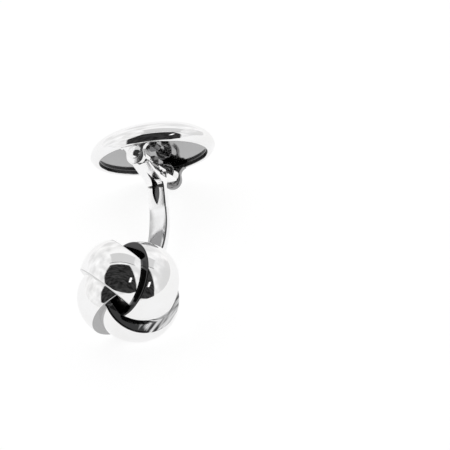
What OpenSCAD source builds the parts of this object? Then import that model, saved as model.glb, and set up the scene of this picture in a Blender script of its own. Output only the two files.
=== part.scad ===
// Silver knot cufflink: a ball of four interlocked rings on a bent post,
// with an oval domed back plate that swivels on a pin across the post's head.
// Stored lying on its side, the way it rests on a table: +Z up, floor at z = 0,
// origin at the middle of the footprint.

/* [Knot] */
// Outer radius of each ring at the crown of its outer face (mm)
ring_peak = 5.16; // [5.13:0.01:5.19]
// Radius of the arc across each ring's outer face (mm)
dome_arc = 4.68; // [4.60:0.02:4.76]
// Width of each ring on its front side, where it passes over (mm)
ring_front = 1.60; // [1.56:0.01:1.64]
// Width of each ring on its back side, where it passes under (mm)
ring_back = 3.55; // [3.50:0.01:3.57]
// Bore radius of each ring (mm)
ring_bore_r = 3.70; // [3.65:0.01:3.72]
// Distance of each ring's centre from the knot's centre (mm)
ring_offset = 1.455; // [1.445:0.005:1.465]
// Distance of each bore's centre from the knot's centre (mm)
bore_offset = 1.25; // [1.23:0.01:1.26]
// Tilt of each ring from the knot's main axis (degrees)
ring_tilt = 54.05; // [53.8:0.05:54.3]
// Turn of the four rings about the knot's main axis (degrees)
ring_turn = 35.3; // [30:0.1:40]
// Radius of the ball inside the rings (mm)
core_r = 2.50; // [2.48:0.01:2.54]

/* [Post] */
// Thickness of the post (mm)
post_t = 1.10; // [0.9:0.05:1.2]
// Width of the post (mm)
post_w = 2.30; // [1.9:0.05:2.3]
// Inside angle by which the post bends (degrees)
post_bend = 53.98; // [53.5:0.01:54.5]
// Radius of the post's bend, to its middle line (mm)
bend_r = 10.0; // [9.5:0.1:10.5]
// Offset of the straight part of the post from the pin (mm)
post_y = 0.35; // [0.30:0.01:0.40]

/* [Back plate] */
// Half length of the oval plate (mm)
plate_a = 7.70; // [7.5:0.01:7.8]
// Half width of the oval plate (mm)
plate_b = 6.60; // [6.55:0.01:6.7]
// Height of the dome above the plate's widest line (mm)
dome_h = 3.00; // [2.7:0.05:3.3]
// Height of the rim below the plate's widest line (mm)
rim_h = 0.76; // [0.70:0.01:0.85]
// Depth of the recess inside the rim (mm)
recess_d = 0.55; // [0.48:0.01:0.58]
// Distance from the pin's centre to the rim's face (mm)
pin_drop = 0.85; // [0.85:0.01:0.95]

/* [Hinge] */
// Radius of the pin (mm)
pin_r = 0.50; // [0.45:0.01:0.52]
// Radial clearance of the pin in the post's eyes (mm)
pin_gap = 0.05; // [0.03:0.01:0.08]
// Outer radius of the post's eyes (mm)
eye_r = 1.10; // [1.05:0.01:1.12]
// Radius of the round ends of the two lugs under the rim (mm)
lug_r = 1.15; // [1.13:0.01:1.18]
// Distance from the pin's centre down to the centre of each lug's round end (mm)
lug_drop = 0.42; // [0.2:0.02:0.44]

/* [Hidden] */

kx_y = -12.45;              // the knot's centre, seen from the pin's centre
kx_z = -19.32;
knot_tip = 126.02;          // turn of the knot's main axis away from straight up
dy = sin(post_bend);        // direction from the knot to the post's head
dz = cos(post_bend);
lean = [3.7, -3.1, 0];      // small lean of the rings from the post's line
crown = -0.54;             // place of the crown across a ring's width
silver = [0.93, 0.93, 0.94];
dark = [0.70, 0.70, 0.72];

// where the slanted part of the post's middle line would meet the straight part
t_meet = (post_y - kx_y) / dy;
z_meet = kx_z + t_meet * dz;
tan_len = bend_r * tan(post_bend / 2);
z_bend = z_meet + tan_len;      // height at which the bend starts
collar_in = 5.00;                   // where the collar starts, from the knot's centre
collar_out = 5.80;                  // where the post starts

lie = [-57.89, -16.45, 0.19];   // turn from the plate's frame to the lying pose
lift = 5.840;               // height of the pin's centre above the floor
shift_x = 0.252;            // these move the footprint's middle to the origin
shift_y = 11.212;

lug_in = 5.30;
lug_out = 6.10;
eye_in = 3.60;
eye_out = 5.15;
rim_z = pin_drop;
wide_z = pin_drop + rim_h;
floor_z = pin_drop + recess_d;

// ---------- shared forms ----------

// everything is drawn with the pin's centre at the origin, the pin along Y and
// the plate above it, and this lays it on its side
module lay() translate([shift_x, shift_y, lift]) rotate(lie) children();

// the knot's own frame: its main axis along Z, its centre at the origin
module at_knot() translate([0, kx_y, kx_z]) rotate([knot_tip, 0, 0]) children();

// a flat shape in the Y-Z plane, drawn out along X
module slab(w) rotate([90, 0, 90]) linear_extrude(height = w, center = true) children();

function bez(p, q, r, t) = [for (i = [0, 1]) (1 - t) * (1 - t) * p[i] + 2 * t * (1 - t) * q[i] + t * t * r[i]];
function bez_pts(p, q, r, n) = [for (k = [0 : n]) bez(p, q, r, k / n)];

// closed solid through a stack of ovals, each given as [z, half length, half width]
module loft(lv, n = 88) {
    m = len(lv);
    pts = concat([for (l = lv) for (k = [0 : n - 1]) [l[1] * cos(360 * k / n), l[2] * sin(360 * k / n), l[0]]],
                 [[0, 0, lv[0][0]], [0, 0, lv[m - 1][0]]]);
    faces = concat([for (j = [0 : m - 2]) for (k = [0 : n - 1]) [j * n + k, (j + 1) * n + k, (j + 1) * n + (k + 1) % n]],
                   [for (j = [0 : m - 2]) for (k = [0 : n - 1]) [j * n + k, (j + 1) * n + (k + 1) % n, j * n + (k + 1) % n]],
                   [for (k = [0 : n - 1]) [m * n, k, (k + 1) % n]],
                   [for (k = [0 : n - 1]) [m * n + 1, (m - 1) * n + (k + 1) % n, (m - 1) * n + k]]);
    polyhedron(points = pts, faces = faces, convexity = 6);
}

function oval(a, b, n = 88) = [for (k = [0 : n - 1]) [a * cos(360 * k / n), b * sin(360 * k / n)]];

// ---------- the knot ----------

// half section of a ring's outside: flat sides, an arched outer face and small round shoulders
sh = 0.20;                                              // shoulder radius
dome_c = ring_peak - dome_arc;                          // centre of the outer face's arc
fz = ring_front - sh - crown;
bz = ring_back - sh + crown;
fx = dome_c + sqrt((dome_arc - sh) * (dome_arc - sh) - fz * fz);
bx = dome_c + sqrt((dome_arc - sh) * (dome_arc - sh) - bz * bz);
fa = atan2(fz, fx - dome_c);                            // where the arc meets the front shoulder
ba = atan2(bz, bx - dome_c);                            // and the back shoulder

function ring_section() = concat(
    [[0, -ring_back]],
    [for (k = [0 : 4]) let (a = -90 + k * (90 - ba) / 4) [bx + sh * cos(a), -(ring_back - sh) + sh * sin(a)]],
    [for (k = [1 : 15]) let (a = -ba + k * (fa + ba) / 16) [dome_c + dome_arc * cos(a), crown + dome_arc * sin(a)]],
    [for (k = [0 : 4]) let (a = fa + k * (90 - fa) / 4) [fx + sh * cos(a), (ring_front - sh) + sh * sin(a)]],
    [[0, ring_front]]);

// a ring is thick on the side where it passes over its neighbours, thin where it passes under
module whole_ring(i)
    rotate([0, 0, ring_turn + 90 * i]) rotate([0, ring_tilt, 0])
        difference() {
            translate([0, -ring_offset, 0]) rotate_extrude($fn = 120) polygon(ring_section());
            translate([0, -bore_offset, 0]) cylinder(r = ring_bore_r, h = 2 * ring_back + 2, center = true, $fn = 120);
        }

// each ring is cut back where the ring before it lies over it, and clear of the one opposite
module ring(i)
    color(silver) lay() at_knot() rotate(lean) difference() {
        whole_ring(i);
        whole_ring(i - 1);
        if (i > 1) whole_ring(i - 2);
    }

module knot_ring_1() ring(0);
module knot_ring_2() ring(1);
module knot_ring_3() ring(2);
module knot_ring_4() ring(3);

module all_rings() rotate(lean) for (i = [0 : 3]) whole_ring(i);

// a ball that the rings are built round, relieved where it meets their bores
module knot_core()
    color(dark) lay() at_knot() difference() {
        sphere(r = core_r, $fn = 64);
        all_rings();
    }

// a small cone that carries the post, seated on the rings at the knot's back
module post_collar()
    color(silver) lay() at_knot() difference() {
        translate([0, 0, -collar_out]) cylinder(r1 = 1.45, r2 = 2.05, h = collar_out - collar_in, $fn = 64);
        all_rings();
    }

// ---------- the post ----------

// the bent strap, from the collar to the fork, as one flat outline
function strap_side(s) = concat(
    [[post_y + s * post_t / 2, z_bend + 0.3]],
    [for (k = [0 : 24]) let (f = post_bend * k / 24)
        [post_y - bend_r + (bend_r + s * post_t / 2) * cos(f), z_bend - (bend_r + s * post_t / 2) * sin(f)]],
    [[kx_y + collar_out * dy + s * dz * post_t / 2, kx_z + collar_out * dz - s * dy * post_t / 2]]);
function flip(v) = [for (k = [len(v) - 1 : -1 : 0]) v[k]];

// one side of the head's outline, from the strap up and out to the eye and back along
// the top to the pocket: s = -1 for the near side, 1 for the far one
function head_side(s) = concat(
    [[post_y + s * post_t / 2, -5.6]],
    bez_pts([post_y + s * post_t / 2, -2.9], [post_y * 0.9 + s * (post_t / 2 - 0.03), -2.16], [s * 1.7, -1.92], 8),
    [[s * 4.4, -1.06], [s * 4.4, -0.72], [s * 0.95, -0.72], [s * 0.95, -1.50]]);

module post()
    color(silver) lay() difference() {
        union() {
            slab(post_w) polygon(concat(strap_side(-1), flip(strap_side(1))));
            slab(2 * eye_r) polygon(concat(head_side(1), flip(head_side(-1))));
            for (s = [-1, 1]) translate([0, s * (eye_in + eye_out) / 2, 0]) rotate([90, 0, 0])
                cylinder(r = eye_r, h = eye_out - eye_in, center = true, $fn = 64);
        }
        // bore for the pin through both eyes
        rotate([90, 0, 0]) cylinder(r = pin_r + pin_gap, h = 2 * eye_out + 2, center = true, $fn = 48);
        // leaf-shaped window in the near side, through which the spring shows
        intersection() {
            translate([-3.05, 0.3, -3.40]) rotate([90, 0, 0]) cylinder(r = 3.50, h = 1.8, $fn = 96);
            translate([3.05, 0.3, -3.40]) rotate([90, 0, 0]) cylinder(r = 3.50, h = 1.8, $fn = 96);
            translate([0, -0.5, -3.4]) cube([2, 1.5, 6], center = true);
        }
        // slot in the crotch that holds the leaf spring
        translate([-0.53, post_y - 0.17, -6.12]) cube([1.06, 0.34, 5.0]);
    }

// the spring stands in the slot and its bent foot lies in the pocket under the cam
module leaf_spring()
    color(dark) lay() slab(1.0) polygon([
        [post_y - 0.15, -6.10], [post_y + 0.15, -6.10], [post_y + 0.15, -1.36],
        [0.62, -1.36], [0.62, -1.15], [-0.62, -1.15], [-0.62, -1.36], [post_y - 0.15, -1.36]]);

// ---------- the hinge ----------

module hinge_pin()
    color(dark) lay() rotate([90, 0, 0]) cylinder(r = pin_r, h = 2 * lug_out, center = true, $fn = 48);

// a domed rivet head: s = -1 for the near end, 1 for the far end
module pin_head(s)
    color(silver) lay() translate([0, s * lug_out, 0]) rotate([-90 * s, 0, 0])
        intersection() {
            cylinder(r = 0.86, h = 0.5, $fn = 48);
            translate([0, 0, -0.82]) sphere(r = 1.20, $fn = 64);
        }
module near_pin_head() pin_head(-1);
module far_pin_head() pin_head(1);

// a squared knuckle on the pin: its flats hold the plate across or along the post
module cam_knuckle()
    color(dark) lay() difference() {
        intersection() {
            rotate([90, 0, 0]) cylinder(r = 1.00, h = 1.4, center = true, $fn = 64);
            cube([1.8, 4, 1.8], center = true);
        }
        rotate([90, 0, 0]) cylinder(r = pin_r + 0.005, h = 6, center = true, $fn = 48);
    }

// a round-ended lug that flares into the rim: s = -1 for the near one, 1 for the far one
module lug(s)
    color(silver) lay() difference() {
        union() {
            intersection() {
                translate([0, s * (lug_in + lug_out) / 2, 0]) rotate([90, 0, 0])
                    linear_extrude(height = lug_out - lug_in, center = true) difference() {
                        union() {
                            translate([0, -lug_drop]) circle(r = lug_r, $fn = 64);
                            translate([-lug_r, -lug_drop]) square([2 * lug_r, lug_drop + 0.1]);
                            translate([-1.8, 0]) square([3.6, rim_z]);
                        }
                        for (m = [-1, 1]) translate([m * (lug_r + 0.75), 0]) circle(r = 0.78, $fn = 64);
                        translate([-3, rim_z]) square([6, 3]);
                    }
                translate([0, 0, -2]) linear_extrude(height = 5) polygon(oval(plate_a, plate_b));
            }
            // foot inside the recess
            intersection() {
                translate([-1.1, s > 0 ? lug_in : -lug_in - 0.5, 0.4]) cube([2.2, 0.5, floor_z - 0.4]);
                linear_extrude(height = 5) polygon(oval(6.55, 5.84));
            }
        }
        rotate([90, 0, 0]) cylinder(r = pin_r + 0.005, h = 20, center = true, $fn = 48);
    }
module near_lug() lug(-1);
module far_lug() lug(1);

// ---------- the back plate ----------

// rim with a rounded bevel outside and a flat recessed floor inside
module plate_base()
    color(silver) lay() loft(concat(
        [[floor_z, 6.60, 5.90], [rim_z + 0.08, 6.60, 5.90], [rim_z, 6.68, 5.98]],
        [for (k = [0 : 8]) let (f = 90 * k / 8)
            [wide_z - rim_h * cos(f), plate_a - 0.48 + 0.48 * sin(f), plate_b - 0.22 + 0.22 * sin(f)]]));

// domed cover, a little fuller than half of an ellipsoid
module plate_dome()
    color(silver) lay() loft([for (k = [0 : 16]) let (f = 88.5 * k / 16)
        [wide_z + dome_h * pow(sin(f), 0.90), plate_a * pow(cos(f), 0.90), plate_b * pow(cos(f), 0.90)]]);

knot_ring_1();
knot_ring_2();
knot_ring_3();
knot_ring_4();
knot_core();
post_collar();
post();
leaf_spring();
hinge_pin();
near_pin_head();
far_pin_head();
cam_knuckle();
near_lug();
far_lug();
plate_base();
plate_dome();
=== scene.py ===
import bpy, bmesh, math
from mathutils import Matrix, Vector


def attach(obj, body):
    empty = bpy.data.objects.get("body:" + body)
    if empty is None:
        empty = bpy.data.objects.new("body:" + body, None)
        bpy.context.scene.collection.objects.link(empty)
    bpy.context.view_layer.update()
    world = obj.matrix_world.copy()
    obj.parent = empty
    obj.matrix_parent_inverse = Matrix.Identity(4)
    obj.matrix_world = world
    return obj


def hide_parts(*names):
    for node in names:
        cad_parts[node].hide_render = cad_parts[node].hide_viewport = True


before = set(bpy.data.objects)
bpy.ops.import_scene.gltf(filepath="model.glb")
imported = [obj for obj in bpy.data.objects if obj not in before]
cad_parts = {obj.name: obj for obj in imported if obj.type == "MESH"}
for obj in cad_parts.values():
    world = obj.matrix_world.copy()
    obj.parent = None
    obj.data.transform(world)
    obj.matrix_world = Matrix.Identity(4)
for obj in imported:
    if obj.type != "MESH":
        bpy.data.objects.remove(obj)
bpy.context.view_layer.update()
MM = 0.001
rad = math.radians

# ---------------------------------------------------------------- places
# Pieces are drawn in millimetres with the pin's centre at the origin, the pin
# along Y and the plate above it, then laid down the way the CAD model lies.
LIE = (Matrix.Translation((0.252, 11.212, 5.840))
       @ Matrix.Rotation(rad(0.19), 4, 'Z') @ Matrix.Rotation(rad(-16.45), 4, 'Y')
       @ Matrix.Rotation(rad(-57.89), 4, 'X'))
KNOT = Vector((0, -12.45, -19.32))
AT_KNOT = Matrix.Translation(KNOT) @ Matrix.Rotation(rad(126.02), 4, 'X')

# ---------------------------------------------------------------- materials
def material(name):
    m = bpy.data.materials.new(name)
    m.use_nodes = True
    nt = m.node_tree
    return m, nt, nt.nodes["Principled BSDF"]

def silver(name, colour, rough, rough_var, scratch, haze=0.0):
    """Polished silver: clear reflections, faint polishing lines and a slightly uneven surface."""
    m, nt, b = material(name)
    N, L = nt.nodes.new, nt.links.new
    b.inputs["Metallic"].default_value = 1.0
    tc = N("ShaderNodeTexCoord")
    # very slight warm and cool clouds of tarnish
    cloud = N("ShaderNodeTexNoise"); cloud.inputs["Scale"].default_value = 260; cloud.inputs["Detail"].default_value = 3
    L(tc.outputs["Object"], cloud.inputs["Vector"])
    ramp = N("ShaderNodeValToRGB")
    ramp.color_ramp.elements[0].position = 0.30
    ramp.color_ramp.elements[1].position = 0.70
    c = colour
    ramp.color_ramp.elements[0].color = (c[0] * 0.965, c[1] * 0.96, c[2] * 0.95, 1)
    ramp.color_ramp.elements[1].color = (c[0], c[1], c[2], 1)
    L(cloud.outputs["Fac"], ramp.inputs["Fac"])
    L(ramp.outputs["Color"], b.inputs["Base Color"])
    # roughness varies a little where fingers and cloth have touched it
    smear = N("ShaderNodeTexNoise"); smear.inputs["Scale"].default_value = 900; smear.inputs["Detail"].default_value = 5
    L(tc.outputs["Object"], smear.inputs["Vector"])
    mr = N("ShaderNodeMapRange")
    mr.inputs["From Min"].default_value = 0.35; mr.inputs["From Max"].default_value = 0.75
    mr.inputs["To Min"].default_value = rough; mr.inputs["To Max"].default_value = rough + rough_var
    L(smear.outputs["Fac"], mr.inputs["Value"])
    L(mr.outputs["Result"], b.inputs["Roughness"])
    # fine polishing lines in two directions, and a gentle waviness
    mp = N("ShaderNodeMapping"); mp.inputs["Scale"].default_value = (26000, 2600, 4200)
    mp.inputs["Rotation"].default_value = (0.3, 0.5, 0.9)
    L(tc.outputs["Object"], mp.inputs["Vector"])
    lines = N("ShaderNodeTexNoise"); lines.inputs["Scale"].default_value = 1.0; lines.inputs["Detail"].default_value = 2
    L(mp.outputs["Vector"], lines.inputs["Vector"])
    wave = N("ShaderNodeTexNoise"); wave.inputs["Scale"].default_value = 420; wave.inputs["Detail"].default_value = 1
    L(tc.outputs["Object"], wave.inputs["Vector"])
    b1 = N("ShaderNodeBump"); b1.inputs["Strength"].default_value = scratch; b1.inputs["Distance"].default_value = 0.000004
    L(lines.outputs["Fac"], b1.inputs["Height"])
    b2 = N("ShaderNodeBump"); b2.inputs["Strength"].default_value = 0.25; b2.inputs["Distance"].default_value = 0.00002
    L(wave.outputs["Fac"], b2.inputs["Height"])
    L(b1.outputs["Normal"], b2.inputs["Normal"])
    L(b2.outputs["Normal"], b.inputs["Normal"])
    return m

M_RING = silver("silver_rings", (0.895, 0.895, 0.90), 0.035, 0.035, 0.25)
M_POST = silver("silver_post", (0.89, 0.89, 0.895), 0.06, 0.06, 0.5)
M_HEAD = silver("silver_head", (0.95, 0.95, 0.955), 0.13, 0.06, 0.5)
M_PLATE = silver("silver_plate", (0.895, 0.895, 0.90), 0.04, 0.04, 0.25)
M_SMALL = silver("silver_small", (0.89, 0.89, 0.895), 0.07, 0.06, 0.5)
# painted shade: the recess floor is made dark grey for the shadowed floor it reflects under the plate
M_RECESS_PAINTED_SHADE = silver("silver_recess_painted_shade", (0.35, 0.35, 0.355), 0.05, 0.05, 0.3)
# painted shade: the far lug is made dark grey for the shadow and dark reflection it sits in behind the post
M_FAR_LUG_PAINTED_SHADE = silver("silver_far_lug", (0.32, 0.32, 0.323), 0.15, 0.1, 0.4)
# painted shade: near-black silver for the shaded rounding along the near arm's right edge
M_EDGE_PAINTED_SHADE = silver("silver_edge_painted_shade", (0.09, 0.09, 0.092), 0.2, 0.1, 0.3)
M_SPRING = silver("silver_spring", (0.16, 0.16, 0.163), 0.3, 0.15, 0.6)
# painted shade: near-black silver for the shaded slot between the post's arms and for the recess wall
M_GAP_PAINTED_SHADE = silver("silver_gap_painted_shade", (0.07, 0.07, 0.072), 0.25, 0.1, 0.3)
# painted shade on the rings' front side faces, one darkness per ring
M_SIDE_PAINTED_SHADE_DARK = silver("silver_side_painted_shade_dark", (0.055, 0.055, 0.056), 0.06, 0.05, 0.3)
M_SIDE_PAINTED_SHADE_GREY = silver("silver_side_painted_shade_grey", (0.42, 0.42, 0.425), 0.05, 0.05, 0.3)
M_SIDE_PAINTED_SHADE_PALE = silver("silver_side_painted_shade_pale", (0.62, 0.62, 0.625), 0.05, 0.05, 0.3)
M_INNER = silver("silver_inner", (0.62, 0.61, 0.60), 0.22, 0.15, 0.8)

def painted_reflection_streaks(name, along, start, width):
    """Polished silver with painted reflection streaks, bright and busy, and painted shade darker towards one end of a
    direction on the piece.
    """
    m = silver(name, (0.9, 0.9, 0.905), 0.06, 0.05, 0.3)
    nt = m.node_tree
    N, L = nt.nodes.new, nt.links.new
    tc = next(n for n in nt.nodes if n.type == 'TEX_COORD')
    b = nt.nodes["Principled BSDF"]
    d = N("ShaderNodeVectorMath"); d.operation = 'DOT_PRODUCT'
    L(tc.outputs["Object"], d.inputs[0]); d.inputs[1].default_value = along
    part = N("ShaderNodeVectorMath"); part.operation = 'SCALE'
    part.inputs[0].default_value = along * 0.90; L(d.outputs["Value"], part.inputs["Scale"])
    squeeze = N("ShaderNodeVectorMath"); squeeze.operation = 'SUBTRACT'
    L(tc.outputs["Object"], squeeze.inputs[0]); L(part.outputs["Vector"], squeeze.inputs[1])
    noise = N("ShaderNodeTexNoise"); noise.inputs["Scale"].default_value = 2600; noise.inputs["Detail"].default_value = 2
    L(squeeze.outputs["Vector"], noise.inputs["Vector"])
    g = N("ShaderNodeMapRange")
    g.inputs["From Min"].default_value = start; g.inputs["From Max"].default_value = start + width
    g.inputs["To Min"].default_value = -0.35; g.inputs["To Max"].default_value = 0.03
    L(d.outputs["Value"], g.inputs["Value"])
    add = N("ShaderNodeMath"); add.operation = 'ADD'
    L(noise.outputs["Fac"], add.inputs[0]); L(g.outputs["Result"], add.inputs[1])
    ramp = N("ShaderNodeValToRGB")
    ramp.color_ramp.elements[0].position = 0.42; ramp.color_ramp.elements[0].color = (0.05, 0.05, 0.051, 1)
    ramp.color_ramp.elements[1].position = 0.66; ramp.color_ramp.elements[1].color = (0.80, 0.80, 0.805, 1)
    L(add.outputs["Value"], ramp.inputs["Fac"])
    L(ramp.outputs["Color"], b.inputs["Base Color"])
    return m

def painted_shade_side(name, along, start, width):
    """Polished silver with a soft grey painted shade along one edge of the strap, with a patchy border."""
    m = silver(name, (0.89, 0.89, 0.895), 0.10, 0.06, 0.5)
    nt = m.node_tree
    N, L = nt.nodes.new, nt.links.new
    tc = next(n for n in nt.nodes if n.type == 'TEX_COORD')
    b = nt.nodes["Principled BSDF"]
    d = N("ShaderNodeVectorMath"); d.operation = 'DOT_PRODUCT'
    L(tc.outputs["Object"], d.inputs[0]); d.inputs[1].default_value = along
    noise = N("ShaderNodeTexNoise"); noise.inputs["Scale"].default_value = 700; noise.inputs["Detail"].default_value = 4
    L(tc.outputs["Object"], noise.inputs["Vector"])
    wob = N("ShaderNodeMath"); wob.operation = 'MULTIPLY_ADD'
    L(noise.outputs["Fac"], wob.inputs[0]); wob.inputs[1].default_value = width * 1.1; L(d.outputs["Value"], wob.inputs[2])
    g = N("ShaderNodeMapRange"); g.interpolation_type = 'SMOOTHSTEP'
    g.inputs["From Min"].default_value = start + width * 0.55; g.inputs["From Max"].default_value = start + width * 1.55
    L(wob.outputs["Value"], g.inputs["Value"])
    ramp = N("ShaderNodeValToRGB")
    ramp.color_ramp.elements[0].color = (0.50, 0.50, 0.503, 1)
    ramp.color_ramp.elements[1].color = (0.89, 0.89, 0.895, 1)
    L(g.outputs["Result"], ramp.inputs["Fac"])
    L(ramp.outputs["Color"], b.inputs["Base Color"])
    return m

WIDE = (LIE.to_3x3() @ Vector((1, 0, 0))).normalized()
# painted shade: the strap darkens towards its -X edge
M_STRAP_PAINTED_SHADE = painted_shade_side("silver_strap_painted_shade", WIDE, (LIE @ Vector((0, 0, 0))).dot(WIDE) * MM - 0.00105, 0.0008)


# ---------------------------------------------------------------- mesh tools
def finish_piece(name, bm, mat, nodes, body, sharp=None, place=None):
    bmesh.ops.remove_doubles(bm, verts=bm.verts, dist=1e-5)
    bmesh.ops.recalc_face_normals(bm, faces=bm.faces)
    for f in bm.faces:
        f.smooth = True
    M = (LIE @ place) if place is not None else LIE
    for v in bm.verts:
        v.co = (M @ v.co) * MM
    me = bpy.data.meshes.new(name)
    bm.to_mesh(me); bm.free()
    me.materials.append(mat)
    if sharp:
        me.set_sharp_from_angle(angle=rad(sharp))
    ob = bpy.data.objects.new(name, me)
    bpy.context.scene.collection.objects.link(ob)
    if nodes:
        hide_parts(*nodes)
    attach(ob, body)
    return ob

def skin(bm, rows, closed_rows=False, closed_cols=True, cap_start=False, cap_end=False):
    """Quads through rows of points; each row is a loop when closed_cols is set."""
    vv = [[bm.verts.new(p) for p in r] for r in rows]
    n = len(rows[0])
    last = len(rows) if closed_rows else len(rows) - 1
    for i in range(last):
        a, b = vv[i], vv[(i + 1) % len(rows)]
        for k in range(n if closed_cols else n - 1):
            k2 = (k + 1) % n
            try:
                bm.faces.new((a[k], a[k2], b[k2], b[k]))
            except ValueError:
                pass
    if cap_start:
        bm.faces.new(vv[0][::-1])
    if cap_end:
        bm.faces.new(vv[-1])
    return vv

def lathe_rows(profile, n=96):
    """Rows of a solid of revolution about Z from (r, z) points, poles allowed."""
    return [[Vector((r * math.cos(2 * math.pi * k / n), r * math.sin(2 * math.pi * k / n), z)) for k in range(n)]
            for r, z in profile]

def arc(cx, cy, r, a0, a1, n):
    return [(cx + r * math.cos(rad(a0 + (a1 - a0) * k / n)), cy + r * math.sin(rad(a0 + (a1 - a0) * k / n)))
            for k in range(n + 1)]

def round_rect(hx, hy, r, seg=5, flat=4):
    """Loop of (x, y) round a rectangle with round corners and evenly divided flats."""
    r = min(r, hx * 0.95, hy * 0.95)
    pts = []
    for cx, cy, a in ((hx - r, hy - r, 0), (-hx + r, hy - r, 90), (-hx + r, -hy + r, 180), (hx - r, -hy + r, 270)):
        pts += arc(cx, cy, r, a, a + 90, seg)
    out = []
    for i, p in enumerate(pts):
        q = pts[(i + 1) % len(pts)]
        out.append(p)
        if (i + 1) % (seg + 1) == 0:
            for k in range(1, flat):
                out.append((p[0] + (q[0] - p[0]) * k / flat, p[1] + (q[1] - p[1]) * k / flat))
    return out

# ---------------------------------------------------------------- the knot
PEAK, ARC, FRONT, BACK, CROWN, SH = 5.155, 4.68, 1.60, 3.55, -0.54, 0.20
OFF, BORE_R, BORE_OFF, TILT, TURN = 1.455, 3.70, 1.25, 54.05, 35.3
LEAN = Matrix.Rotation(rad(-3.1), 4, 'Y') @ Matrix.Rotation(rad(3.7), 4, 'X')

# the first ring's own X direction, along which its side face is streaked with painted reflection and darkens into
# painted shade
RING_X = ((LIE @ AT_KNOT @ LEAN @ Matrix.Rotation(rad(TURN), 4, 'Z') @ Matrix.Rotation(rad(TILT), 4, 'Y')).to_3x3()
          @ Vector((1, 0, 0))).normalized()
M_SIDE_PAINTED_REFLECTION = painted_reflection_streaks("silver_side_painted_reflection", RING_X, (LIE @ KNOT).dot(RING_X) * MM - 0.0043, 0.0014)

def ring_outer():
    """Outside of a ring's section as (r, z), from the front side face over the crown to the back one."""
    c = PEAK - ARC
    fz, bz = FRONT - SH - CROWN, BACK - SH + CROWN
    fx = c + math.sqrt((ARC - SH) ** 2 - fz ** 2)
    bx = c + math.sqrt((ARC - SH) ** 2 - bz ** 2)
    fa = math.degrees(math.atan2(fz, fx - c))
    ba = math.degrees(math.atan2(bz, bx - c))
    front = [(2.0 + (fx - 2.0) * k / 60, FRONT) for k in range(60)] + arc(fx, FRONT - SH, SH, 90, fa, 10)
    dome = arc(c, CROWN, ARC, fa, -ba, 80)[1:-1]
    back = arc(bx, -(BACK - SH), SH, -ba, -90, 10) + [(bx + (2.0 - bx) * k / 60, -BACK) for k in range(1, 61)]
    return front, dome, back

FACE_F, FACE_D, FACE_B = ring_outer()

def resample(pts, n):
    d = [0.0]
    for p, q in zip(pts, pts[1:]):
        d.append(d[-1] + math.hypot(q[0] - p[0], q[1] - p[1]))
    out, j = [], 0
    for k in range(n + 1):
        t = d[-1] * k / n
        while j < len(d) - 2 and d[j + 1] < t:
            j += 1
        f = (t - d[j]) / max(d[j + 1] - d[j], 1e-9)
        out.append((pts[j][0] + (pts[j + 1][0] - pts[j][0]) * f, pts[j][1] + (pts[j + 1][1] - pts[j][1]) * f))
    return out

def clip(pts, start):
    """The part of a side face and its shoulder that lies outside a radius, which grows along pts."""
    k = 0
    while pts[k + 1][0] < start:
        k += 1
    (r0, z0), (r1, z1) = pts[k], pts[k + 1]
    f = (start - r0) / max(r1 - r0, 1e-9)
    return [(start, z0 + (z1 - z0) * f)] + pts[k + 1:]

def ring_section(rb, e=0.02):
    """Whole section loop of a ring whose bore wall is at radius rb here."""
    front = resample(clip(FACE_F, rb + e), 18)
    back = resample(clip(FACE_B[::-1], rb + e), 18)[::-1]
    edge_f = arc(rb + e, FRONT - e, e, 180, 90, 5)[:-1]
    edge_b = arc(rb + e, -(BACK - e), e, 270, 180, 5)[1:]
    wall = [(rb, -BACK + e + (FRONT + BACK - 2 * e) * t) for t in (0.2, 0.4, 0.6, 0.8)]
    return edge_f + front + FACE_D + back + edge_b + wall

def make_ring(i):
    bm = bmesh.new()
    rows = []
    n = 288
    c = OFF - BORE_OFF
    for k in range(n):
        a = 2 * math.pi * k / n
        u = math.sin(a)
        rb = c * u + math.sqrt(BORE_R ** 2 - c * c + (c * u) ** 2)
        ca, sa = math.cos(a), math.sin(a)
        rows.append([Vector((r * ca, r * sa - OFF, z)) for r, z in ring_section(rb)])
    skin(bm, rows, closed_rows=True)
    for f in bm.faces:                                  # the front side faces lie in the next ring's shade and get a painted shade
        f.material_index = 1 if min(v.co.z for v in f.verts) > FRONT - SH * 0.6 else 0
    place = AT_KNOT @ LEAN @ Matrix.Rotation(rad(TURN + 90 * i), 4, 'Z') @ Matrix.Rotation(rad(TILT), 4, 'Y')
    ob = finish_piece("ring_%d_polished" % (i + 1), bm, M_RING, ["knot_ring_%d" % (i + 1)], "knot_and_post", place=place)
    # each ring's front side faces get their own painted shade; the first ring's also a painted reflection
    ob.data.materials.append((M_SIDE_PAINTED_REFLECTION, M_SIDE_PAINTED_SHADE_DARK, M_SIDE_PAINTED_SHADE_PALE, M_SIDE_PAINTED_SHADE_GREY)[i])
    return ob

for i in range(4):
    make_ring(i)

# collar on the knot's back, a soft cone
bm = bmesh.new()
prof = [(0.0, -5.80)] + [(1.30, -5.80)] + arc(1.33, -5.68, 0.12, -90, -20, 5) + arc(1.93, -5.12, 0.12, -30, 90, 8) + [(0.0, -5.00)]
skin(bm, lathe_rows(prof, 96))
finish_piece("collar_polished", bm, M_SMALL, ["post_collar"], "knot_and_post", sharp=50, place=AT_KNOT)

# ---------------------------------------------------------------- the post
POST_Y, POST_T, POST_W, BEND_R, BEND = 0.35, 1.10, 2.30, 10.0, 53.98
DY, DZ = math.sin(rad(BEND)), math.cos(rad(BEND))
T_MEET = (POST_Y - KNOT.y) / DY
Z_BEND = KNOT.z + T_MEET * DZ + BEND_R * math.tan(rad(BEND / 2))
EYE_R, EYE_IN, EYE_OUT, PIN_R = 1.10, 3.60, 5.15, 0.50

def smoothstep(t):
    t = max(0.0, min(1.0, t))
    return t * t * (3 - 2 * t)

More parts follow.
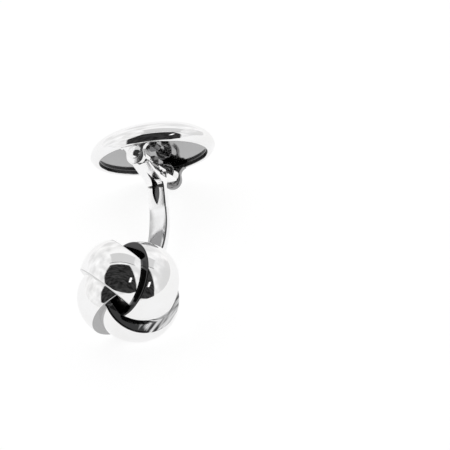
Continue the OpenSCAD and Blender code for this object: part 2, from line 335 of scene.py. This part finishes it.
def post_width(z_along):
    """Half width of the strap by the distance below the pin along it."""
    return 1.09 + (POST_W / 2 - 1.09) * smoothstep((z_along - 5.6) / 2.2)

def post_bm():
    bm = bmesh.new()
    rows = []
    def add(mid, across, ht, hwid, er=0.17):
        loop = round_rect(hwid, ht, er, 5, 8)
        bulge = 0.07 * smoothstep((-5.6 - mid.z) / 3.0)
        crowned = [(x, y - bulge * (1 - (x / hwid) ** 2) if y < 0 else y) for x, y in loop]
        rows.append([mid + Vector((x, 0, 0)) + across * y for x, y in crowned])
    add(Vector((0, POST_Y, -5.38)), Vector((0, 1, 0)), 0.543, 1.083)      # its end lies hidden in the head
    add(Vector((0, POST_Y, -5.57)), Vector((0, 1, 0)), 0.55, 1.09)
    for k in range(0, 57):
        f = BEND * k / 56
        c, s = math.cos(rad(f)), math.sin(rad(f))
        mid = Vector((0, POST_Y - BEND_R + BEND_R * c, Z_BEND - BEND_R * s))
        if mid.z > -5.63:
            continue
        add(mid, Vector((0, c, -s)), POST_T / 2, post_width(-Z_BEND + BEND_R * rad(f)))
    end_t = 5.75
    start_t = T_MEET - BEND_R * math.tan(rad(BEND / 2))
    for k in range(1, 15):
        t = start_t + (end_t - start_t) * k / 14
        mid = Vector((0, KNOT.y + t * DY, KNOT.z + t * DZ))
        add(mid, Vector((0, DZ, -DY)), POST_T / 2, POST_W / 2)
    skin(bm, rows, cap_start=True, cap_end=True)
    bm.faces.index_update()
    for f in bm.faces:                                  # a dark line of painted shade along the near side's right edge, where its rounding turns into shade
        if f.index < (len(rows) - 1) * 52:
            f.material_index = 1 if f.index % 52 in (40, 41, 42, 43) else 3
    # the head, one outline seen along X with all its edges rounded
    half = []
    for sd in (1, -1):
        out = [(POST_Y + sd * 0.55, -5.60 + 2.5 * k / 10) for k in range(10)]
        for k in range(25):
            t = k / 24
            out.append(((1 - t) ** 2 * (POST_Y + sd * 0.55) + 2 * t * (1 - t) * (POST_Y * 0.9 + sd * 0.52) + t * t * sd * 1.7,
                        (1 - t) ** 2 * -3.1 + 2 * t * (1 - t) * -2.16 + t * t * -1.92))
        out += [(sd * (1.7 + 2.7 * k / 8), -1.92 + 0.86 * (k / 8) ** 1.15) for k in range(1, 9)]
        out += [(sd * 4.42, -0.90), (sd * 4.4, -0.72)]
        out += [(sd * (4.4 - 3.30 * k / 6), -0.72) for k in range(1, 7)]
        out += [(sd * 1.02, -0.75), (sd * 0.96, -0.82), (sd * 0.95, -1.1), (sd * 0.95, -1.42), (sd * 0.90, -1.48), (sd * 0.80, -1.50), (sd * 0.4, -1.50)]
        half.append(out)
    loop = half[0] + [(0.0, -1.50)] + half[1][::-1]
    n = len(loop)
    nor = []
    for k in range(n):
        p, q = loop[k - 1], loop[(k + 1) % n]
        du, dv = q[0] - p[0], q[1] - p[1]
        ln = math.hypot(du, dv) or 1
        nor.append((-dv / ln, du / ln))                 # points into the head
    e = 0.15
    lv = [(-1.09 + e - e * math.cos(rad(a)), e - e * math.sin(rad(a))) for a in (0, 22, 45, 67, 90)]
    lv += [(-x, d) for x, d in reversed(lv)]
    rows = [[Vector((x, y + ny * d, z + nz * d)) for (y, z), (ny, nz) in zip(loop, nor)] for x, d in lv]
    sub = bmesh.new()
    skin(sub, rows, cap_start=True, cap_end=True)
    bmesh.ops.recalc_face_normals(sub, faces=sub.faces)
    sub = cut_window(sub)
    sub.normal_update()
    for f in sub.faces:
        c, nrm = f.calc_center_median(), f.normal
        # the slot between the arms gets the near-black painted shade
        if abs(c.x) < 0.47 and -5.2 < c.z < -1.6 and -0.9 < c.y < 0.245 and (abs(nrm.y) < 0.1 or c.y > 0.235):
            f.material_index = 2
        # a dark line of painted shade down the arm's right edge
        elif c.x > 0.96 and c.x < 1.07 and c.y < 0.0 and c.z < -2.4:
            f.material_index = 1
        else:
            f.material_index = 4
    me = bpy.data.meshes.new("tmp_head")
    sub.to_mesh(me); sub.free()
    bm.from_mesh(me)
    bpy.data.meshes.remove(me)
    # the eyes round the pin
    for s in (-1, 1):
        r, e = EYE_R, 0.13
        b = PIN_R + 0.05
        prof = ([(b, EYE_IN + 0.05)] + arc(b + 0.05, EYE_IN + 0.05, 0.05, 180, 270, 3) + arc(r - e, EYE_IN + e, e, -90, 0, 6)
                + arc(r - e, EYE_OUT - e, e, 0, 90, 6) + arc(b + 0.05, EYE_OUT - 0.05, 0.05, 90, 180, 3))
        rows = lathe_rows(prof, 96)
        rows = [[Vector((v.x, s * v.z, v.y)) for v in row] for row in rows]
        sub = bmesh.new()
        skin(sub, rows, closed_rows=True)
        bmesh.ops.recalc_face_normals(sub, faces=sub.faces)
        me = bpy.data.meshes.new("tmp_eye")
        sub.to_mesh(me); sub.free()
        bm.from_mesh(me)
        bpy.data.meshes.remove(me)
    return bm

def cut_window(sub):
    """Cuts the leaf-shaped window through the near arm."""
    me = bpy.data.meshes.new("tmp_a"); sub.to_mesh(me); sub.free()
    a = bpy.data.objects.new("tmp_a", me)
    bpy.context.scene.collection.objects.link(a)
    cut = bmesh.new()
    R, zc, hw = 3.50, -3.40, 0.45
    ang = math.degrees(math.acos((R - hw) / R))
    right = arc(-(R - hw), zc, R, -ang, ang, 24)
    left = arc((R - hw), zc, R, 180 - ang, 180 + ang, 24)
    loop = right + left[1:-1]
    skin(cut, [[Vector((x, y, z)) for x, z in loop] for y in (-3.0, 0.24)], cap_start=True, cap_end=True)
    bmesh.ops.recalc_face_normals(cut, faces=cut.faces)
    mc = bpy.data.meshes.new("tmp_c"); cut.to_mesh(mc); cut.free()
    c = bpy.data.objects.new("tmp_c", mc)
    bpy.context.scene.collection.objects.link(c)
    mod = a.modifiers.new("cut", 'BOOLEAN'); mod.operation = 'DIFFERENCE'; mod.object = c; mod.solver = 'EXACT'
    dg = bpy.context.evaluated_depsgraph_get()
    out = bmesh.new()
    ev = a.evaluated_get(dg)
    out.from_mesh(ev.to_mesh()); ev.to_mesh_clear()
    for o in (a, c):
        m = o.data
        bpy.data.objects.remove(o)
        bpy.data.meshes.remove(m)
    return out

post = finish_piece("post_polished", post_bm(), M_POST, ["post"], "knot_and_post", sharp=35)
post.data.materials.append(M_EDGE_PAINTED_SHADE)
post.data.materials.append(M_GAP_PAINTED_SHADE)
post.data.materials.append(M_STRAP_PAINTED_SHADE)
post.data.materials.append(M_HEAD)

# ---------------------------------------------------------------- hinge pieces
LUG_R, LUG_IN, LUG_OUT, RIM_Z = 1.15, 5.30, 6.10, 0.85

def to_y(rows, s=1):
    return [[Vector((v.x, s * v.z, v.y)) for v in row] for row in rows]

bm = bmesh.new()
skin(bm, to_y(lathe_rows([(0.0, -6.10), (PIN_R, -6.10), (PIN_R, -3.0), (PIN_R, 0.0), (PIN_R, 3.0), (PIN_R, 6.10), (0.0, 6.10)], 64)))
finish_piece("pin_polished", bm, M_SMALL, ["hinge_pin"], "back_plate", sharp=40)

for s, nm in ((-1, "near"), (1, "far")):
    bm = bmesh.new()
    prof = [(0.0, 0.38)] + [(1.2 * math.sin(rad(a)), -0.82 + 1.2 * math.cos(rad(a))) for a in range(3, 43, 3)]
    prof += arc(0.81, 0.045, 0.045, 45, 0, 4) + [(0.855, 0.0)]
    prof = [(r, LUG_OUT + z) for r, z in prof] + [(0.0, LUG_OUT)]
    skin(bm, to_y(lathe_rows(prof, 72), s))
    finish_piece("%s_rivet_polished" % nm, bm, M_SMALL, ["%s_pin_head" % nm], "back_plate", sharp=60)

def lug_outline():
    """Half outline on the +X side, from the bottom up to the rim."""
    pts = arc(0, -0.42, LUG_R, -90, 0, 22) + [(LUG_R, -0.34), (LUG_R, -0.26)]
    pts += arc(1.90, 0, 0.78, 195.9, 96, 26)
    pts += [(1.80, RIM_Z + 0.02)]
    return pts

for s, nm in ((-1, "near"), (1, "far")):
    half = lug_outline()
    loop = [(-x, z) for x, z in half[:0:-1]] + half
    n = len(loop)
    nor = []
    for k in range(n):
        p, q = loop[k - 1] if k else loop[0], loop[(k + 1) % n] if k < n - 1 else loop[-1]
        dx, dz = q[0] - p[0], q[1] - p[1]
        L = math.hypot(dx, dz) or 1
        nor.append((-dz / L, dx / L))       # points inwards for this direction of travel
    e = 0.15
    rows = []
    lv = [(LUG_IN + e - e * math.cos(rad(a)), e - e * math.sin(rad(a))) for a in (0, 22, 45, 67, 90)]
    lv += [(LUG_OUT - e + e * math.sin(rad(a)), e - e * math.cos(rad(a))) for a in (0, 22, 45, 67, 90)]
    for y, inset in lv:
        rows.append([Vector((x + nx * inset, s * y, z + nz * inset)) for (x, z), (nx, nz) in zip(loop, nor)])
    bm = bmesh.new()
    skin(bm, rows, cap_start=True, cap_end=True)
    # the far lug gets the dark painted shade
    finish_piece("%s_lug_polished" % nm, bm, M_SMALL if s < 0 else M_FAR_LUG_PAINTED_SHADE, ["%s_lug" % nm], "back_plate", sharp=50)

# ---------------------------------------------------------------- the back plate
A, B, RIM_H, DOME_H, REC = 7.695, 6.595, 0.76, 2.995, 0.55

def plate_profile():
    """(height, half length, half width) from the middle of the recess out, round the rim and up over the dome."""
    wz = RIM_Z + RIM_H
    pr = [(RIM_Z + REC, 0.0, 0.0)]
    for f in (0.3, 0.6, 0.85, 0.96, 0.985):
        pr.append((RIM_Z + REC, 6.60 * f, 5.90 * f))
    for z, d in arc(0.10, -0.10, 0.10, 0, 90, 4):       # small round at the foot of the wall
        pass
    pr += [(RIM_Z + REC - 0.02, 6.56, 5.86), (RIM_Z + REC - 0.08, 6.60, 5.90), (RIM_Z + 0.12, 6.61, 5.91)]
    pr += [(RIM_Z + 0.04, 6.635, 5.935), (RIM_Z + 0.005, 6.70, 6.00)]
    pr += [(RIM_Z, 6.80, 6.08), (RIM_Z, 6.95, 6.20), (RIM_Z + 0.005, 7.06, 6.30), (RIM_Z + 0.03, 7.13, 6.345), (RIM_Z + 0.07, 7.17, 6.37)]
    for k in range(1, 9):                               # nearly straight bevel up to the widest line
        f = k / 8
        d = (1 - f) ** 1.35
        pr.append((RIM_Z + 0.07 + (RIM_H - 0.07) * f, A - 0.50 * d, B - 0.215 * d))
    n = 46
    for k in range(1, n + 1):
        f = rad(90 * k / n)
        h = DOME_H * math.sin(f) ** 0.90
        c = max(math.cos(f), 0) ** 0.90
        pr.append((wz + h, A * c, B * c))
    return pr

bm = bmesh.new()
n = 256
rows = [[Vector((a * math.cos(2 * math.pi * k / n), b * math.sin(2 * math.pi * k / n), z)) for k in range(n)]
        for z, a, b in plate_profile()]
skin(bm, rows)
bm.faces.index_update()
for f in bm.faces:
    k = f.index // n                                    # which step of the profile the face is on
    # the recess floor gets painted shade and the recess wall a darker painted shade
    f.material_index = 1 if k < 6 else (2 if k < 8 else 0)
plate = finish_piece("plate_polished", bm, M_PLATE, ["plate_base", "plate_dome"], "back_plate", sharp=55)
plate.data.materials.append(M_RECESS_PAINTED_SHADE)
plate.data.materials.append(M_GAP_PAINTED_SHADE)

# ---------------------------------------------------------------- CAD nodes that stay
for nm, mat in (("knot_core", M_INNER), ("leaf_spring", M_SPRING), ("cam_knuckle", M_SMALL)):
    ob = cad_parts[nm]
    if ob.material_slots:
        for sl in ob.material_slots:
            sl.material = mat
    else:
        ob.data.materials.append(mat)
    if nm != "knot_core":
        bv = ob.modifiers.new("soft_edges", 'BEVEL')
        bv.width = 0.00006; bv.segments = 3; bv.limit_method = 'ANGLE'; bv.angle_limit = rad(35)

# ---------------------------------------------------------------- floor, camera, light
me = bpy.data.meshes.new("floor")
S = 2.5
me.from_pydata([(-S, -S, -0.00001), (S, -S, -0.00001), (S, S, -0.00001), (-S, S, -0.00001)], [], [(0, 1, 2, 3)])
floor = bpy.data.objects.new("floor", me)
bpy.context.scene.collection.objects.link(floor)
fm, fnt, fb = material("floor_white")
fb.inputs["Base Color"].default_value = (0.25, 0.25, 0.25, 1)
fb.inputs["Emission Color"].default_value = (1, 1, 1, 1)
fb.inputs["Emission Strength"].default_value = 0.86
fb.inputs["Roughness"].default_value = 0.9
fb.inputs["Specular IOR Level"].default_value = 0.1
me.materials.append(fm)

# camera axes seen from the pin's centre, in the pin's own frame
R3 = LIE.to_3x3()
right = (R3 @ Vector((0.920, 0.380, -0.090))).normalized()
look = (R3 @ Vector((-0.337, 0.889, 0.310)))
look = (look - look.dot(right) * right).normalized()
up = right.cross(look).normalized()
PX = 0.12
pin = LIE @ Vector((0, 0, 0))
aim = pin + right * ((225 - 154.0) * PX) - up * ((225 - 164.8) * PX)
LENS = 1500.0
dist = 450 * PX * LENS / 36.0
cam = bpy.data.cameras.new("camera")
cam.lens = LENS; cam.sensor_width = 36.0; cam.sensor_fit = 'HORIZONTAL'
cam.clip_start = 0.01; cam.clip_end = 20
co = bpy.data.objects.new("camera", cam)
bpy.context.scene.collection.objects.link(co)
rot = Matrix((right, up, -look)).transposed()
co.matrix_world = Matrix.Translation((aim - look * dist) * MM) @ rot.to_4x4()
bpy.context.scene.camera = co

# white surround, a little greyer at the sides, with the dark part of the room that
# the silver shows round the camera, a lamp in it and a window above it
world = bpy.data.worlds.new("studio")
bpy.context.scene.world = world
world.use_nodes = True
wn = world.node_tree
wn.nodes.clear()
N, L = wn.nodes.new, wn.links.new
out = N("ShaderNodeOutputWorld"); bg = N("ShaderNodeBackground")
tc = N("ShaderNodeTexCoord")
BACK_TO = -look

def axis3(x, y, z):
    """A direction given to the right, up and towards the camera's place, in the scene's own axes."""
    return (right * x + up * y + BACK_TO * z)

def side(x, y, z, soft=0.012):
    """1 where the direction lies on the positive side of a plane, 0 beyond it."""
    v = axis3(x, y, z).normalized()
    d = N("ShaderNodeVectorMath"); d.operation = 'DOT_PRODUCT'
    L(tc.outputs["Generated"], d.inputs[0])
    d.inputs[1].default_value = v
    m = N("ShaderNodeMapRange"); m.interpolation_type = 'SMOOTHSTEP'
    m.inputs["From Min"].default_value = -soft; m.inputs["From Max"].default_value = soft
    L(d.outputs["Value"], m.inputs["Value"])
    return m.outputs["Result"]

def ramp_along(x, y, z, a, b):
    """0 to 1 as the direction's component along an axis goes from a to b."""
    v = axis3(x, y, z).normalized()
    d = N("ShaderNodeVectorMath"); d.operation = 'DOT_PRODUCT'
    L(tc.outputs["Generated"], d.inputs[0])
    d.inputs[1].default_value = v
    m = N("ShaderNodeMapRange"); m.interpolation_type = 'SMOOTHSTEP'
    m.inputs["From Min"].default_value = a; m.inputs["From Max"].default_value = b
    L(d.outputs["Value"], m.inputs["Value"])
    return m.outputs["Result"]

def times(*vals):
    r = vals[0]
    for v in vals[1:]:
        m = N("ShaderNodeMath"); m.operation = 'MULTIPLY'
        L(r, m.inputs[0]); L(v, m.inputs[1])
        r = m.outputs["Value"]
    return r

def blend_to(base, fac, value):
    """Moves a brightness towards a value (a number or a socket) by a factor."""
    m = N("ShaderNodeMix"); m.data_type = 'FLOAT'
    L(fac, m.inputs[0])
    if isinstance(base, float):
        m.inputs[2].default_value = base
    else:
        L(base, m.inputs[2])
    if isinstance(value, float):
        m.inputs[3].default_value = value
    else:
        L(value, m.inputs[3])
    return m.outputs[0]

def mottle(scale, lo, hi, detail=2.0, stretch=(1, 1, 1)):
    mp = N("ShaderNodeMapping"); mp.inputs["Scale"].default_value = stretch
    rot = Matrix((right, up, BACK_TO)).to_euler()
    mp.vector_type = 'POINT'
    mp.inputs["Rotation"].default_value = rot
    L(tc.outputs["Generated"], mp.inputs["Vector"])
    n = N("ShaderNodeTexNoise"); n.inputs["Scale"].default_value = scale; n.inputs["Detail"].default_value = detail
    L(mp.outputs["Vector"], n.inputs["Vector"])
    m = N("ShaderNodeMapRange")
    m.inputs["From Min"].default_value = 0.35; m.inputs["From Max"].default_value = 0.68
    m.inputs["To Min"].default_value = lo; m.inputs["To Max"].default_value = hi
    L(n.outputs["Fac"], m.inputs["Value"])
    return m.outputs["Result"]

# soft white all round, with faint clouds
level = mottle(3.0, 0.74, 1.0, 3.0)
level = blend_to(level, ramp_along(1, 0.10, 0.0, 0.72, 0.96), 0.70)         # greyer to the right
level = blend_to(level, ramp_along(0, 1, 0.2, 0.86, 0.98), 0.96)
level = blend_to(level, times(side(0, 1, -1.33, 0.02), side(0, -1, 7.0, 0.02), ramp_along(1, 0, 0, -0.40, -0.36), ramp_along(-1, 0, 0, -0.56, -0.52)), 0.64)
level = blend_to(level, times(side(0, 1, -1.20, 0.006), side(0, -1, 1.30, 0.006), ramp_along(1, 0, 0, -0.50, -0.44), ramp_along(-1, 0, 0, -0.60, -0.54)), 0.22)
shade = times(side(0, -1, 1.0), side(-1, -0.233, 0.813), side(0.2, 1, 0.73), side(1, 0, 1.15), side(0.8, -0.43, 1.006), side(0, 0, 1))
room = mottle(5.0, 0.006, 0.055, 3.0, (1.0, 5.0, 1.0))
level = blend_to(level, shade, room)
# the lamp, a small upright white bar that leans to the right
lx, ly = 0.46, 0.02
lamp = times(side(1, -0.42, -(lx - 0.055) + 0.42 * ly, 0.006), side(-1, 0.42, (lx + 0.055) - 0.42 * ly, 0.006),
             side(0, 1, 0.12 - ly, 0.006), side(0, -1, 0.12 + ly, 0.006), side(0, 0, 1))
level = blend_to(level, lamp, 1.3)
L(level, bg.inputs["Color"])
bg.inputs["Strength"].default_value = 1.12
L(bg.outputs["Background"], out.inputs["Surface"])

vs = bpy.context.scene.view_settings
vs.view_transform = 'Standard'
vs.look = 'None'
